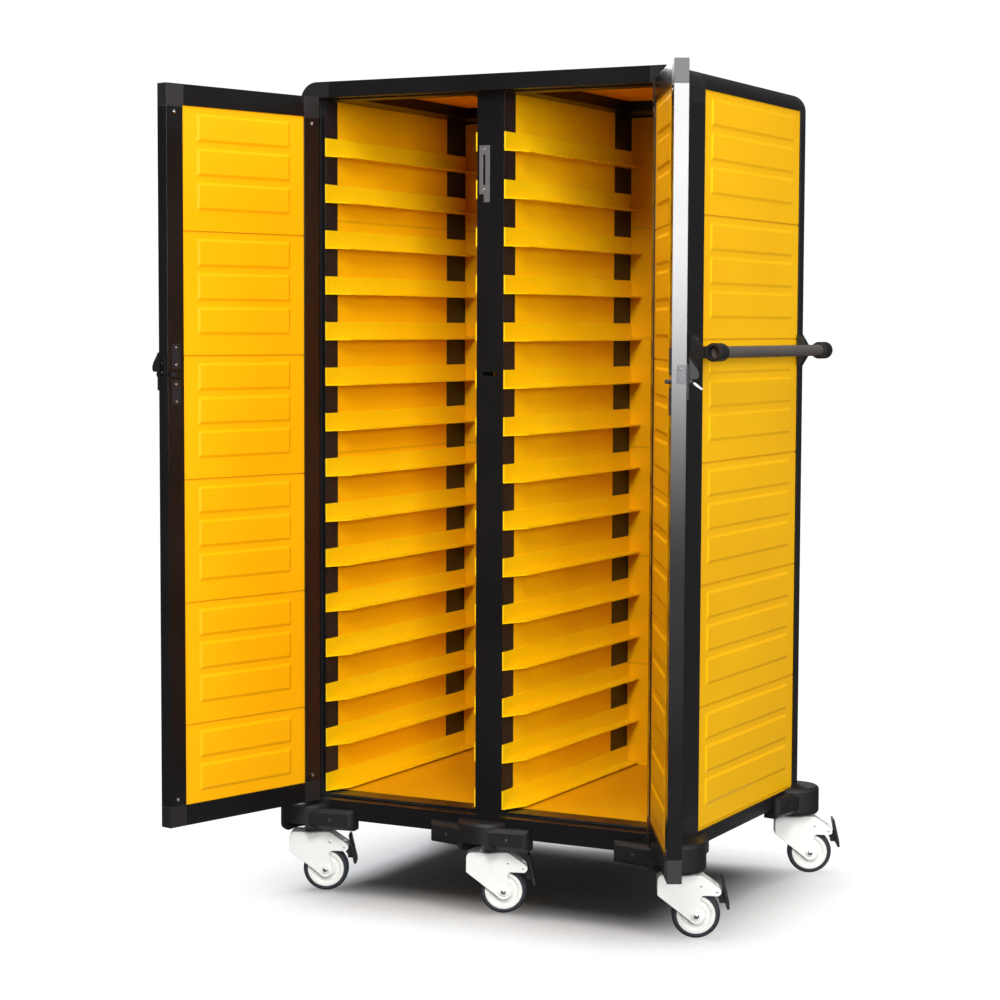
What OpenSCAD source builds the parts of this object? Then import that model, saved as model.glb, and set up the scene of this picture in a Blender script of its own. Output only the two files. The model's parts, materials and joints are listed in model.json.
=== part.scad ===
// Enclosed meal tray cart: a two-bay insulated cabinet with a frame of black profiles, embossed yellow
// panels, fifteen pairs of tray rails in each bay, two doors with turn latches, push bars at both ends,
// wrap-round bumpers and six braked swivel casters.
// Millimetres. The origin is on the floor under the middle of the cabinet, +X to the right seen from the
// front, +Y to the back, +Z up. Inside the modules the cabinet is drawn from its front lower left corner.

/* [Cabinet] */
// Clear width of each tray bay
bay_w = 376; // [340:2:440]
// Thickness of each side wall
wall_t = 42; // [38:1:60]
// Width of the centre post, and of the divider with its rail posts
divider_t = 64; // [60:1:90]
// Depth of the cabinet without its doors' hinges
body_d = 710; // [640:5:900]
// Height of the cabinet's underside above the floor
body_z = 170; // [165:1:190]
// Radius of the round top corners
corner_r = 40; // [24:1:41]
// Thickness of the top panel
top_t = 12; // [8:1:20]
// Height of the rails under the top panel
ceiling_rail_t = 24; // [16:1:36]
// Thickness of the floor panel
floor_t = 26; // [18:1:36]
// Height of the tray bay's floor above the cabinet's underside
sill_h = 48; // [40:1:60]

/* [Frame] */
// Width of the rim beside the doors
rim = 22; // [20:1:34]
// How far the tray bay's floor stands over the rim under the doors
sill_lap = 6; // [2:1:14]
// How far the ceiling rails hang under the rim over the doors
ceiling_lap = 2; // [1:1:14]
// Depth of the recess that the doors close into
recess = 32; // [32:1:44]
// Depth of the front frame inside the cabinet
front_inner_d = 85; // [75:1:110]
// Depth of the front frame's skin outside
front_d = 120; // [112:1:160]
// Depth and width of the rear frame, and thickness of the back wall
rear_d = 30; // [24:1:36]
// Thickness of the frame's outer skin and of the side walls' outer panels
skin = 20; // [16:1:24]
// Height of the black strip over the side panels
top_strip = 40; // [38:1:60]
// Height of the black strip under the side panels
bottom_strip = 30; // [26:1:38]
// Length of the moulded corner pieces along each profile
corner_zone = 70; // [60:1:100]
// Width of the outer ceiling rails past the wall
ceiling_rail_w = 66; // [30:1:100]
// Width of the middle ceiling rail past each side of the divider
mid_rail_w = 42; // [20:1:70]
// Width of the ceiling rail along the back wall
rear_rail_w = 107; // [60:1:140]

/* [Tray rails] */
// Number of tray levels in each bay
levels = 15; // [4:1:15]
// Height from one tray level to the next
tray_pitch = 100; // [80:1:130]
// Height of the lowest ledge's underside above the tray bay's floor
first_ledge = 4; // [1:1:40]
// Clear height over the highest ledge's underside
headroom = 122; // [110:1:160]
// Height of a rail's upright flange
flange_h = 40; // [30:1:60]
// Width of a rail's ledge
ledge_w = 30; // [20:1:40]
// Thickness of a rail
rail_t = 3; // [2:0.5:4]
// Length of the slanted lead-in at a rail's front end
lead_in = 60; // [30:1:90]
// Gap between a rail's rear end and the back wall
rail_end_gap = 2; // [1:0.5:6]
// Thickness of the rail posts
post_t = 10; // [8:1:12]
// Thickness of the flange that the front rail posts stand behind
post_flange = 6; // [4:1:10]
// Depth of the rear rail posts
rear_post_d = 93; // [60:1:120]
// Height of a rail's hook
hook_h = 14; // [10:1:20]
// Length of a rail's hook along the rail
hook_l = 24; // [16:1:30]
// Clearance between a hook and its slot in the post
hook_gap = 0.5; // [0.3:0.1:1.5]

/* [Embossing] */
// Height of one panel segment, from seam to seam
segment_h = 256; // [200:2:320]
// Height of one raised pad
pad_h = 58; // [40:1:62]
// Height from one pad to the next
pad_pitch = 70; // [66:1:78]
// Distance from a seam to the first pad
pad_first = 14; // [8:1:24]
// Number of pads in a whole segment
pads = 3; // [1:1:3]
// Distance from a panel's side edge to its pads
pad_inset = 40; // [20:1:60]
// How far a pad stands out
pad_rise = 2.4; // [1:0.2:3]
// Width of a pad's sloping edge
pad_bevel = 6; // [3:1:10]
// Depth of the panels' faces under the faces of their frames
panel_inset = 3; // [3:0.5:5]
// Width of the seam between two segments
seam_w = 3; // [2:0.5:6]
// Depth of the seam between two segments
seam_d = 1.5; // [0.5:0.5:3]

/* [Doors] */
// Thickness of a door
door_t = 28; // [24:1:28]
// Gap between a door and the rim
door_gap = 1; // [1:0.5:3]
// Gap between the two closed doors
doors_apart = 4; // [3:0.5:8]
// Gap between a closed door's face and the cabinet's front plane
door_set_back = 1; // [0.5:0.5:2]
// Width of the profile round a door
stile = 43; // [34:1:50]
// How much longer than that width a door's moulded corner pieces are
corner_leg = 2; // [1:1:20]
// Angle at which the left door stands open
left_open = 105; // [0:1:170]
// Angle at which the right door stands open
right_open = 119; // [0:1:170]

/* [Hinges and latches] */
// Radius of a hinge pin
pin_r = 4; // [3:0.5:4.5]
// Radial clearance of the pin in the door's knuckle
pin_gap = 0.05; // [0.02:0.01:0.1]
// Radius of a hinge knuckle
knuckle_r = 6.5; // [6:0.25:6.5]
// Distance of a hinge pin's axis in front of the cabinet
pin_out = 7; // [7:0.5:10]
// Height of one hinge
hinge_h = 64; // [50:1:90]
// Distance of each hinge's middle from the door's end
hinge_end = 62; // [50:1:120]
// Thickness of a hinge leaf
leaf_t = 3; // [2:0.5:4]
// Height of the keeper plate's lower end above the cabinet's underside
keeper_z = 1345; // [1100:5:1400]
// Length of the keeper plate
keeper_l = 119; // [90:1:140]
// Height of the latches' axes above the cabinet's underside
latch_z = 983; // [600:1:1300]
// Radius of a latch's spindle
spindle_r = 4; // [3:0.5:5]
// Radial clearance of the spindle in the door
spindle_gap = 0.06; // [0.02:0.01:0.1]
// Height of a latch's paddle
paddle_h = 40; // [32:1:60]
// Height of the paddle's foot above the latch's axis
paddle_foot = 5; // [4:0.5:8]
// Width of a latch's paddle
paddle_w = 20; // [14:1:26]
// How far a paddle stands out from the cabinet's front plane
paddle_out = 22; // [20:1:32]
// Length of the metal tongue on the right latch's hub
tongue_l = 24; // [16:1:30]
// Angle at which the tongue slopes down
tongue_down = 37; // [0:1:60]
// Distance of a latch's axis from the door's free edge
latch_edge = 11; // [11:0.5:12]
// Length of the finger that holds a door shut
finger_l = 10; // [8:0.5:11]
// Width of the finger
finger_w = 7; // [5:0.5:9]
// Thickness of the finger
finger_t = 3; // [2:0.5:4]
// Thickness of the centre post's front skin
post_skin = 3; // [2:0.5:5]
// Clearance between the finger and the inside of the post's skin
finger_gap = 2; // [1:0.5:4]
// Clearance above and below the finger in the post's slot
slot_gap = 1; // [0.5:0.5:2]

/* [Push bars] */
// Diameter of a push bar
bar_d = 25; // [20:1:32]
// Distance of a push bar's axis from the side of the cabinet
bar_out = 55; // [45:1:90]
// Height of the push bars above the cabinet's underside
bar_z = 1033; // [800:1:1200]
// Distance of the front bracket's middle from the cabinet's front
bar_front = 62; // [45:1:80]
// Distance of the rear bracket's middle from the cabinet's back
bar_back = 26; // [22:1:60]
// Diameter of the brackets' caps
cap_d = 38; // [34:1:48]
// Length of the brackets' caps along the bar
cap_l = 46; // [30:1:60]

/* [Bumpers] */
// Height of the bumpers' underside above the floor
bumper_z = 137; // [133:1:140]
// Height of the bumpers' lobes
lobe_h = 66; // [50:1:72]
// Radius of the bumpers' round lobes
lobe_r = 61; // [55:1:70]
// Height of the bumpers' arms
arm_h = 46; // [36:1:49]
// How far the arms stand out from the cabinet beside the lobe
arm_out = 40; // [30:1:41]
// Length of a corner bumper's arms from the lobe's middle
arm_l = 136; // [110:1:170]
// Length of a centre bumper's arms from the lobe's middle
centre_arm_l = 122; // [110:1:170]
// Radius of the hollow round a caster's neck, open to the outside
pocket_r = 28; // [24:1:32]
// Height of that opening
pocket_h = 21; // [16:1:24]

/* [Casters] */
// Distance of the outer casters' axes from the cabinet's side
caster_side = 5; // [0:1:60]
// Distance of the casters' axes from the cabinet's front and back
caster_end = 18; // [10:1:60]
// Radius of a wheel over its tyre
wheel_r = 50; // [45:1:50]
// Thickness of the tyre
tyre_t = 10; // [7:1:14]
// Width of the tyre
tyre_w = 30; // [24:1:32]
// Horizontal distance from a caster's swivel axis to its axle
trail = 40; // [30:1:44]
// Angle of the trailing forks from +X
trail_angle = 26; // [0:1:90]
// Width of the fork over its cheeks
fork_w = 50; // [44:1:56]
// Width of the gap between the cheeks
fork_gap = 35; // [34:1:40]
// Radius of the axle
axle_r = 5; // [4:0.5:6]
// Radial clearance of the axle in the wheel
axle_gap = 0.05; // [0.02:0.01:0.1]
// Radius of the fork's neck
neck_r = 8; // [8:0.5:11]
// Radius of the swivel pin
stem_r = 6; // [4:0.5:7]
// Radial clearance of the swivel pin in its socket
stem_gap = 0.05; // [0.02:0.01:0.1]
// Height of the swivel socket under its plate
socket_h = 14; // [10:1:16]
// Radius of the swivel socket
socket_r = 18; // [15:1:20]
// Length and width of a caster's top plate
plate_l = 90; // [70:1:110]
// Thickness of the caster's top plate
plate_t = 5; // [4:0.5:6]

/* [Hidden] */
CASTERS = ["front_left", "front_middle", "front_right", "rear_left", "rear_middle", "rear_right"];
SIDES = ["left", "right"];

cut = 1;                                                  // overshoot of every cut past the face it leaves
fine = 48;                                                // facets of round outlines that nothing turns in
black = "#1b1c1f";
yellow = "#ffbe0b";

// the cabinet
body_w = 2 * (wall_t + bay_w) + divider_t;
lowest_z = sill_h + first_ledge;                          // underside of the lowest ledge
rail_under = lowest_z + (levels - 1) * tray_pitch + headroom;  // underside of the ceiling rails
body_h = rail_under + ceiling_rail_t + top_t;
mid_x = body_w / 2;
back_y = body_d - rear_d;                                 // face of the back wall
divider_core = divider_t - 2 * post_t;
front_post_y = recess + post_flange;
rear_post_y = back_y - rear_post_d;
bay_x = [wall_t, mid_x + divider_t / 2];                  // left wall of each bay

// the doors, drawn shut on the left
door_w = mid_x - doors_apart / 2 - rim - door_gap;
door_x = rim + door_gap;
door_y = door_set_back;
rim_bottom = sill_h - sill_lap;
rim_top = top_t + ceiling_rail_t - ceiling_lap;
door_z = rim_bottom + door_gap;
door_h = body_h - rim_top - door_gap - door_z;
door_corner = stile + corner_leg;
pin_x = rim + door_gap / 2;
hinge_z = [door_z + hinge_end, door_z + door_h - hinge_end];
knuckle_h = hinge_h / 3;
knuckle_gap = 0.5;                                        // end play of the door's knuckle
bracket_leaf_w = 12;                                      // width of the cabinet's hinge leaf
latch_x = door_x + door_w - latch_edge;

// the keeper plate
keeper_w = 24;
keeper_t = 2;
keeper_side = 26;                                         // its left edge from the cabinet's middle

// the latch
rose = [24, 4, 66];                                       // plate under the paddle
hub_r = 9;                                                // the paddle's hub
hub_h = 6;
hub_y = door_y - rose[1] - 1 - hub_h;                     // the hub's outer face
tongue_w = 8;
tongue_t = 4;
catch = [22, 2, 51];                                      // plates on the door's inner face
catch_apart = 74;                                         // from one inner plate's middle to the other's
finger_y = recess + post_skin + finger_gap;               // front face of the finger

// the casters
caster_x = [-body_w / 2 + caster_side, 0, body_w / 2 - caster_side];
caster_y = [-body_d / 2 + caster_end, body_d / 2 - caster_end];
plate_z = body_z - plate_t;
socket_z = plate_z - socket_h;                            // underside of the socket
crown_z = bumper_z - 3;                                   // top of the fork's crown
axle = [trail, wheel_r];                                  // the axle, from the swivel axis

// ---------------------------------------------------------------- helpers

// Points of an arc from angle a0 to a1 about c
function arc(c, r, a0, a1, n = 6) = [for (i = [0:n]) c + r * [cos(a0 + (a1 - a0) * i / n),
                                                              sin(a0 + (a1 - a0) * i / n)]];

module in_body() translate([-body_w / 2, -body_d / 2, body_z]) children();

// An outline in (x, z) carried from y0 to y1
module along_y(y0, y1) translate([0, y1, 0]) rotate([90, 0, 0]) linear_extrude(y1 - y0) children();

// An outline in (y, z) carried from x0 to x1
module along_x(x0, x1) translate([x0, 0, 0]) rotate([90, 0, 90]) linear_extrude(x1 - x0) children();

// A box between two corners
module box(a, b) translate(a) cube(b - a);

// A rectangle between two corners
module rect(a, b) translate(a) square(b - a);

// The other half of the cabinet, drawn from the same left-hand shapes
module other_side() translate([body_w, 0, 0]) mirror([1, 0, 0]) children();

module both_sides() {
    children();
    other_side() children();
}

// ---------------------------------------------------------------- frame

// Front view of the cabinet: square at the foot, round at the top corners
module outline() {
    rect([0, 0], [body_w, body_h - corner_r]);
    rect([corner_r, 0], [body_w - corner_r, body_h]);
    for (x = [corner_r, body_w - corner_r])
        translate([x, body_h - corner_r]) circle(corner_r, $fn = fine);
}

// A door-like opening with its own distance from each edge of the cabinet
module opening(side, bottom, top) rect([side, bottom], [body_w - side, body_h - top]);

module front_ring() difference() {
    along_y(0, front_d) outline();
    along_y(-cut, recess) opening(rim, rim_bottom, rim_top);
    along_y(recess - cut, front_post_y) opening(wall_t, sill_h, top_t + ceiling_rail_t);
    along_y(front_post_y - cut, front_inner_d) opening(wall_t - post_t, sill_h, top_t + ceiling_rail_t);
    along_y(front_inner_d, front_d + cut) opening(skin, sill_h - floor_t, top_t);
}

module rear_ring() difference() {
    along_y(body_d - rear_d, body_d) outline();
    along_y(body_d - rear_d - cut, body_d + cut) opening(rear_d, bottom_strip, top_strip);
}

// Where the moulded corner pieces take over from the straight profiles
module corner_zones(y0, y1) both_sides() for (z = [0, body_h - corner_zone])
    box([-cut, y0 - cut, z - cut], [corner_zone, y1 + cut, z + corner_zone + cut]);

module front_frame() color(black) in_body() difference() {
    front_ring();
    corner_zones(0, front_d);
}

module rear_frame() color(black) in_body() difference() {
    rear_ring();
    corner_zones(body_d - rear_d, body_d);
}

module frame_corners() color(black) in_body() {
    intersection() {
        front_ring();
        corner_zones(0, front_d);
    }
    intersection() {
        rear_ring();
        corner_zones(body_d - rear_d, body_d);
    }
}

// Profile of the upper long rail: the round outer edge and the shelf under the top panel
module upper_rail_profile(skin_x) intersection() {
    outline();
    union() {
        rect([skin_x, body_h - top_strip], [skin, body_h]);
        rect([skin, rail_under], [wall_t, body_h]);
        rect([skin, rail_under], [wall_t + ceiling_rail_w, body_h - top_t]);
    }
}

module lower_rail_profile() {
    rect([0, 0], [wall_t, bottom_strip]);
    rect([skin, bottom_strip - cut], [wall_t, sill_h]);
}

module long_rails() color(black) in_body() both_sides() {
    along_y(front_d, body_d - rear_d) upper_rail_profile(0);
    along_y(front_inner_d, front_d) rect([skin, rail_under], [wall_t + ceiling_rail_w, body_h - top_t]);
    along_y(front_d, body_d - rear_d) lower_rail_profile();
    along_y(front_inner_d, front_d) rect([skin, sill_h - floor_t], [wall_t, sill_h]);
}

module ceiling_rails() color(black) in_body() {
    box([wall_t + ceiling_rail_w, back_y - rear_rail_w, rail_under],
        [body_w - wall_t - ceiling_rail_w, back_y, body_h - top_t]);
    box([mid_x - divider_t / 2 - mid_rail_w, front_inner_d, rail_under],
        [mid_x + divider_t / 2 + mid_rail_w, back_y - rear_rail_w, body_h - top_t]);
}

// Where both latches' fingers enter the post, lying level
module finger_slot() box([latch_x - spindle_r - 2, recess - cut, latch_z - finger_w / 2 - slot_gap],
                         [body_w - latch_x + spindle_r + 2, recess + post_skin + cut,
                          latch_z + finger_w / 2 + slot_gap]);

// Hollow post with a front flange as wide as the divider, a bead and a slot for each latch
module centre_post() color(black) in_body() difference() {
    union() {
        box([mid_x - divider_t / 2, recess, sill_h], [mid_x + divider_t / 2, front_post_y, rail_under]);
        box([mid_x - divider_core / 2, recess, sill_h],
            [mid_x + divider_core / 2, front_inner_d, rail_under]);
    }
    box([mid_x - divider_core / 2 + post_skin, recess + post_skin, sill_h + post_skin],
        [mid_x + divider_core / 2 - post_skin, front_inner_d + cut, rail_under - post_skin]);
    finger_slot();
}

// ---------------------------------------------------------------- panels

// A raised pad with sloping edges, lying in (y, z) and standing out along -x
module pad(y0, y1, z0, z1) intersection() {
    along_y(y0, y1) polygon([[0, z0], [-pad_rise, z0 + pad_bevel], [-pad_rise, z1 - pad_bevel], [0, z1],
                             [pad_bevel, z1], [pad_bevel, z0]]);
    translate([0, 0, z0]) linear_extrude(z1 - z0)
        polygon([[0, y0], [-pad_rise, y0 + pad_bevel], [-pad_rise, y1 - pad_bevel], [0, y1],
                 [pad_bevel, y1], [pad_bevel, y0]]);
}

// The embossed face of a panel from z0 to z1, standing out along -x from the plane x = 0.
// Seams and pads are set out downwards from the top edge, as on every panel of the cart.
module embossed(y0, y1, z0, z1, t) difference() {
    union() {
        box([0, y0, z0], [t, y1, z1]);
        for (s = [0:floor((z1 - z0) / segment_h)], k = [0:pads - 1]) {
            top = z1 - s * segment_h - pad_first - k * pad_pitch;
            if (top - pad_h > z0 + pad_bevel) pad(y0 + pad_inset, y1 - pad_inset, top - pad_h, top);
        }
    }
    for (s = [1:floor((z1 - z0) / segment_h)]) translate([0, 0, z1 - s * segment_h])
        box([-cut, y0 - cut, -seam_w / 2], [seam_d, y1 + cut, seam_w / 2]);
}

// Side wall: embossed outside, plain inside, stepped to fit the frame and the rear rail post
module side_wall() {
    translate([panel_inset, 0, 0])
        embossed(front_d, back_y, bottom_strip, body_h - top_strip, skin - panel_inset);
    difference() {
        box([skin, front_inner_d, sill_h], [wall_t, back_y, rail_under]);
        box([wall_t - post_t, rear_post_y, sill_h - cut], [wall_t + cut, back_y + cut, rail_under + cut]);
    }
}

module side_panel_left() color(yellow) in_body() side_wall();

module side_panel_right() color(yellow) in_body() other_side() side_wall();

// Back wall: plain inside, embossed outside within the rear frame
module back_panel() color(yellow) in_body() translate([rear_d, body_d - panel_inset, 0])
    rotate([0, 0, -90])
        embossed(0, body_w - 2 * rear_d, bottom_strip, body_h - top_strip, rear_d - panel_inset);

module top_panel() color(yellow) in_body()
    box([wall_t, front_d, body_h - top_t], [body_w - wall_t, back_y, body_h]);

module floor_panel() color(yellow) in_body() box(
    [wall_t, front_inner_d, sill_h - floor_t], [body_w - wall_t, back_y, sill_h]);

module divider_panel() color(yellow) in_body() {
    box([mid_x - divider_core / 2, front_inner_d, sill_h], [mid_x + divider_core / 2, back_y, rail_under]);
    for (x = [mid_x - divider_t / 2, mid_x + divider_core / 2])
        box([x, front_inner_d, sill_h], [x + post_t, rear_post_y, rail_under]);
}

// Channels under the floor, open downwards
module floor_bearers() color(black) in_body() for (x = [body_w / 4, mid_x, body_w * 3 / 4])
    along_y(front_d, body_d - rear_d) difference() {
        rect([x - 30, 0], [x + 30, sill_h - floor_t]);
        rect([x - 26, -cut], [x + 26, sill_h - floor_t - 4]);
    }

// ---------------------------------------------------------------- tray rails

// Middle of each rail hook along the rail
hook_y = [(front_post_y + front_inner_d) / 2, rear_post_y + rear_post_d / 2];

// One rail post on the left wall of a bay, with a slot for each rail's hook
module rail_post(y0, y1, hook) difference() {
    box([-post_t, y0, sill_h], [0, y1, rail_under]);
    for (i = [0:levels - 1]) translate([0, hook, ledge_z(i) + flange_h / 2])
        box([-post_t - cut, -hook_l / 2 - hook_gap, -hook_h / 2 - hook_gap],
            [cut, hook_l / 2 + hook_gap, hook_h / 2 + hook_gap]);
}

function ledge_z(i) = lowest_z + i * tray_pitch;

module rail_posts() color(black) in_body() both_sides() for (x = [bay_x[0], mid_x - divider_t / 2])
    translate([x, 0, 0]) mirror([x == bay_x[0] ? 0 : 1, 0, 0]) {
        rail_post(front_post_y, front_inner_d, hook_y[0]);
        rail_post(rear_post_y, back_y, hook_y[1]);
    }

// One rail on the left wall of a bay: an upright flange, a ledge with a slanted lead-in, and two hooks
module tray_rail(z) {
    box([0, recess, z], [rail_t, back_y - rail_end_gap, z + flange_h]);
    translate([0, 0, z]) linear_extrude(rail_t)
        polygon([[0, recess], [rail_t, recess], [ledge_w, recess + lead_in],
                 [ledge_w, back_y - rail_end_gap], [0, back_y - rail_end_gap]]);
    for (y = hook_y)
        box([-post_t, y - hook_l / 2, z + flange_h / 2 - hook_h / 2],
            [cut, y + hook_l / 2, z + flange_h / 2 + hook_h / 2]);
}

// The rails on one wall: walls 1 and 3 are the left walls of the bays, 2 and 4 the right walls
module tray_rails(k) color(yellow) in_body()
    translate([bay_x[k < 3 ? 0 : 1] + (k % 2 == 0 ? bay_w : 0), 0, 0]) mirror([k % 2 == 0 ? 1 : 0, 0, 0])
        for (i = [0:levels - 1]) tray_rail(ledge_z(i));

// ---------------------------------------------------------------- push bars

bar_y = [bar_front, body_d - bar_back];
cap_edge = 3;                                             // step round a cap's ends
arm_w = 24;                                               // the bracket's arm, square in section
foot_h = 70;
foot_t = 6;
foot_slope = 14;                                           // where the arm widens, in front of the foot

module push_bars() color("#3a3b3e") in_body() both_sides() translate([-bar_out, bar_y[0], bar_z])
    rotate([-90, 0, 0]) cylinder(d = bar_d, h = bar_y[1] - bar_y[0], $fn = fine);

// Moulded bracket: a round cap over the bar's end on an arm that widens to a tall foot on the frame
module bar_bracket() difference() {
    union() {
        translate([-bar_out, 0, bar_z]) rotate([90, 0, 0]) {
            cylinder(d = cap_d, h = cap_l - 2 * cap_edge, center = true, $fn = fine);
            cylinder(d = cap_d - 2 * cap_edge, h = cap_l, center = true, $fn = fine);
        }
        along_y(-arm_w / 2, arm_w / 2) translate([0, bar_z]) for (s = [0, 1]) mirror([0, s])
            polygon([[-bar_out, 0], [-bar_out, arm_w / 2], [-foot_t - foot_slope, arm_w / 2],
                     [-foot_t, foot_h / 2], [0, foot_h / 2], [0, 0]]);
    }
    translate([-bar_out, 0, bar_z]) rotate([90, 0, 0])
        cylinder(d = bar_d, h = cap_l + 2 * cut, center = true, $fn = fine);
}

module bar_brackets() color(black) in_body() both_sides() for (y = bar_y)
    translate([0, y, 0]) bar_bracket();

// ---------------------------------------------------------------- hinges and keeper

// The cabinet's half of a hinge: a leaf on the rim, two knuckles and the pin
module hinge_bracket(z) translate([pin_x, -pin_out, z]) {
    box([-knuckle_r - 1 - bracket_leaf_w, pin_out - leaf_t, -hinge_h / 2],
        [-knuckle_r - 1, pin_out, hinge_h / 2]);
    for (s = [-1, 1]) translate([0, 0, s * knuckle_h]) {
        cylinder(r = knuckle_r, h = knuckle_h, center = true, $fn = fine);
        box([-knuckle_r - 1, pin_out - leaf_t, -knuckle_h / 2], [0, pin_out, knuckle_h / 2]);
        box([-knuckle_r, 0, -knuckle_h / 2], [-1, pin_out - 1, knuckle_h / 2]);
    }
    cylinder(r = pin_r, h = hinge_h + 4, center = true, $fn = fine);
}

module hinge_brackets() color(black) in_body() both_sides() for (z = hinge_z) hinge_bracket(z);

// Bare plate with a slot and a hooked lower end, on the post behind the left door
module keeper_plate() color("#9b9da0") in_body()
    translate([mid_x - keeper_side, recess - keeper_t, keeper_z]) difference() {
        box([0, 0, 0], [keeper_w, keeper_t, keeper_l]);
        box([keeper_w / 3, -cut, keeper_l * 0.3],
            [keeper_w * 0.6, keeper_t + cut, keeper_l - keeper_w * 0.8]);
        box([-cut, -cut, -cut], [keeper_w * 0.45, keeper_t + cut, keeper_w * 0.7]);
    }

// ---------------------------------------------------------------- doors

module door_pose(side) if (side == 0) {
    in_body() translate([pin_x, -pin_out, 0]) rotate([0, 0, -left_open])
        translate([-pin_x, pin_out, 0]) children();
} else {
    in_body() translate([body_w - pin_x, -pin_out, 0]) rotate([0, 0, right_open])
        translate([pin_x - body_w, pin_out, 0]) other_side() children();
}

module spindle_bore() translate([latch_x, door_y, latch_z]) rotate([-90, 0, 0])
    translate([0, 0, -cut]) cylinder(r = spindle_r + spindle_gap, h = door_t + 2 * cut, $fn = fine);

// Four profiles and four moulded corner pieces
module door_frame() difference() {
    union() {
        for (x = [door_x, door_x + door_w - stile])
            box([x, door_y, door_z + door_corner],
                [x + stile, door_y + door_t, door_z + door_h - door_corner]);
        for (z = [door_z, door_z + door_h - stile])
            box([door_x + door_corner, door_y, z],
                [door_x + door_w - door_corner, door_y + door_t, z + stile]);
        for (x = [door_x, door_x + door_w - door_corner], z = [door_z, door_z + door_h - door_corner])
            box([x, door_y, z], [x + door_corner, door_y + door_t, z + door_corner]);
    }
    spindle_bore();
    box([door_x + stile, door_y - cut, door_z + stile],
        [door_x + door_w - stile, door_y + door_t + cut, door_z + door_h - stile]);
}

// Embossed on both faces
module door_panel() {
    t = door_t - 2 * panel_inset;
    x0 = door_x + stile;
    x1 = door_x + door_w - stile;
    translate([x1, door_y + panel_inset, 0]) rotate([0, 0, 90])
        embossed(0, x1 - x0, door_z + stile, door_z + door_h - stile, t / 2);
    translate([x0, door_y + panel_inset + t, 0]) rotate([0, 0, -90])
        embossed(0, x1 - x0, door_z + stile, door_z + door_h - stile, t / 2);
}

// The door's half of the hinges
module hinge_leaves() for (z = hinge_z) translate([pin_x, -pin_out, z]) difference() {
    union() {
        cylinder(r = knuckle_r, h = knuckle_h - 2 * knuckle_gap, center = true, $fn = fine);
        box([0, pin_out + door_y - leaf_t, knuckle_gap - knuckle_h / 2],
            [knuckle_r + 2, pin_out + door_y, knuckle_h / 2 - knuckle_gap]);
        box([1, 0, knuckle_gap - knuckle_h / 2], [knuckle_r, pin_out, knuckle_h / 2 - knuckle_gap]);
        box([knuckle_r + 1, pin_out + door_y - leaf_t, -hinge_h / 2],
            [stile - 8, pin_out + door_y, hinge_h / 2]);
    }
    cylinder(r = pin_r + pin_gap, h = hinge_h, center = true, $fn = fine);
}

// Plate under the paddle outside, two smaller plates inside
module latch_case() {
    difference() {
        translate([latch_x, door_y, latch_z]) box([-rose[0] / 2, -rose[1], -rose[2] / 2],
                                                  [rose[0] / 2, 0, rose[2] / 2]);
        translate([latch_x, door_y - rose[1] - cut, latch_z]) rotate([-90, 0, 0])
            cylinder(r = spindle_r + spindle_gap, h = rose[1] + 2 * cut, $fn = fine);
    }
    for (s = [-1, 1])
        translate([door_x + door_w - stile / 2, door_y + door_t, latch_z + s * catch_apart / 2])
            box([-catch[0] / 2, 0, -catch[2] / 2], [catch[0] / 2, catch[1], catch[2] / 2]);
}

// The paddle's side view, flush at the top and widest just over its foot
function paddle_profile(root) = [[root, paddle_foot], [3 - paddle_out, paddle_foot],
    [-paddle_out, paddle_foot + 5], [-paddle_out, paddle_foot + 11], [4 - paddle_out, paddle_foot + 20],
    [root - 5, paddle_foot + paddle_h - 8], [root, paddle_foot + paddle_h]];

// Paddle outside on a round hub, spindle through the door, finger behind the post's skin
module latch_lever() translate([latch_x, 0, latch_z]) {
    translate([0, hub_y, 0]) rotate([-90, 0, 0]) {
        cylinder(r = spindle_r, h = finger_y + finger_t - hub_y, $fn = fine);
        cylinder(r = hub_r, h = hub_h, $fn = fine);
    }
    along_x(-paddle_w / 2, paddle_w / 2) polygon(paddle_profile(hub_y + hub_h));
    box([-spindle_r, finger_y, -finger_w / 2], [finger_l, finger_y + finger_t, finger_w / 2]);
}

// Metal tongue that stands out from the right latch's hub, down from the level
module latch_tongue() translate([latch_x, hub_y, latch_z]) rotate([90 + tongue_down, 0, 0])
    box([-tongue_w / 2, -tongue_t / 2, -tongue_w / 2], [tongue_w / 2, tongue_t / 2, tongue_l]);

module door_left_frame() color(black) door_pose(0) door_frame();
module door_right_frame() color(black) door_pose(1) door_frame();
module door_left_panel() color(yellow) door_pose(0) door_panel();
module door_right_panel() color(yellow) door_pose(1) door_panel();
module door_left_hinge_leaves() color(black) door_pose(0) hinge_leaves();
module door_right_hinge_leaves() color(black) door_pose(1) hinge_leaves();
module door_left_latch_case() color(black) door_pose(0) latch_case();
module door_right_latch_case() color(black) door_pose(1) latch_case();
module door_left_latch_lever() color(black) door_pose(0) latch_lever();
module door_right_latch_lever() color(black) door_pose(1) {
    latch_lever();
    latch_tongue();
}

// ---------------------------------------------------------------- bumpers

// Draws in the quarter where x and y are positive and mirrors to the wanted one
module quarter(x, y) mirror([x < 0 ? 1 : 0, 0, 0]) mirror([0, y < 0 ? 1 : 0, 0]) children();

// A round lobe with softened edges, about the z axis
module lobe() translate([0, 0, bumper_z]) rotate_extrude($fn = fine) polygon(concat(
    [[0, 0], [lobe_r - 14, 0]], arc([lobe_r - 10, 12], 10, -60, 0, 3),
    arc([lobe_r - 8, lobe_h - 8], 8, 0, 90, 4), [[0, lobe_h]]));

arm_bend = 11;                                            // angle between an arm and the cabinet's edge
tip_r = 14;                                               // radius of an arm's tip seen from above

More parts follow.
